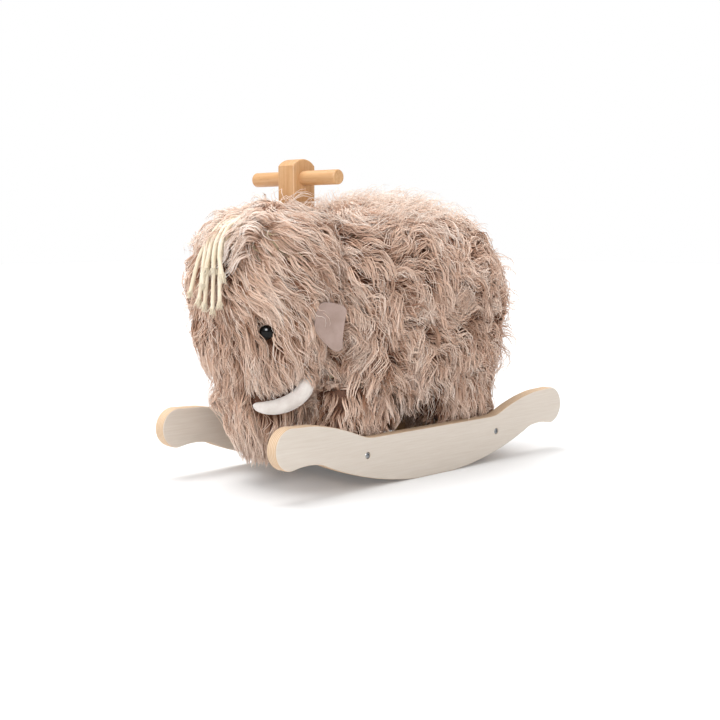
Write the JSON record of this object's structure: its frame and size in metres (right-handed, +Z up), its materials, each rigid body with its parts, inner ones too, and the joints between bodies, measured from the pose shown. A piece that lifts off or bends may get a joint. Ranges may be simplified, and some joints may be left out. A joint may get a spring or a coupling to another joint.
{
  "type": "rocking animal toy",
  "caption": "Plush long-haired mammoth ride-on on wooden rockers, with a round beech handle bar above its head and a foam-padded body over a wooden frame.",
  "frame": {"origin": "bottom centre of the rockers, on the floor midway between them", "axes": "+Z up; the head looks along -Y, and +Y runs back along the rockers; +X is the animal's left side"},
  "size_m": [0.255, 0.6125, 0.4419],
  "materials": {
    "plywood": "matte",
    "beech": "satin",
    "plush": "matte",
    "foam": "matte",
    "suede": "matte",
    "felt": "matte",
    "cotton": "matte",
    "eye_black": "gloss",
    "steel": "satin",
    "nylon": "matte"
  },
  "bodies": {
    "toy": {"rocker_left": "plywood", "rail_bolt_front_left": "steel", "barrel_nut_front_left": "steel", "leg_post_front_left": "beech", "leg_screw_front_left": "steel", "leg_front_left": "plush", "rail_bolt_rear_left": "steel", "barrel_nut_rear_left": "steel", "leg_post_rear_left": "beech", "leg_screw_rear_left": "steel", "leg_rear_left": "plush", "rocker_right": "plywood", "rail_bolt_front_right": "steel", "barrel_nut_front_right": "steel", "leg_post_front_right": "beech", "leg_screw_front_right": "steel", "leg_front_right": "plush", "rail_bolt_rear_right": "steel", "barrel_nut_rear_right": "steel", "leg_post_rear_right": "beech", "leg_screw_rear_right": "steel", "leg_rear_right": "plush", "cross_rail_front": "beech", "cross_rail_rear": "beech", "seat_board": "plywood", "handle_upright": "beech", "handle_bar": "beech", "handle_bracket": "steel", "bracket_screw_board_left": "steel", "bracket_screw_board_right": "steel", "bracket_screw_post_upper": "steel", "bracket_screw_post_lower": "steel", "body_cover": "plush", "body_foam": "foam", "belly_foam": "foam", "head_cover": "plush", "head_foam": "foam", "trunk_cover": "plush", "trunk_stuffing": "foam", "eye_left": "eye_black", "eye_washer_left": "nylon", "tusk_left": "felt", "eye_right": "eye_black", "eye_washer_right": "nylon", "tusk_right": "felt", "forelock_binding": "felt", "forelock_cord_under_1": "cotton", "forelock_cord_under_2": "cotton", "forelock_cord_under_3": "cotton", "forelock_cord_under_4": "cotton", "forelock_cord_under_5": "cotton", "forelock_cord_over_1": "cotton", "forelock_cord_over_2": "cotton", "forelock_cord_over_3": "cotton", "forelock_cord_over_4": "cotton"},
    "ear_left": {"ear_left": "suede"},
    "ear_right": {"ear_right": "suede"}
  },
  "joints": [
    {"name": "ear_left_flap", "type": "hinge", "parent": "toy", "child": "ear_left", "pos_m": [0.1034, -0.212, 0.222], "axis": [-0.1736, 0, -0.9848], "range_deg": [0, 65], "stiffness_Nm_per_rad": 0.01},
    {"name": "ear_right_flap", "type": "hinge", "parent": "toy", "child": "ear_right", "pos_m": [-0.1034, -0.212, 0.222], "axis": [-0.1736, 0, 0.9848], "range_deg": [0, 65], "stiffness_Nm_per_rad": 0.01}
  ]
}
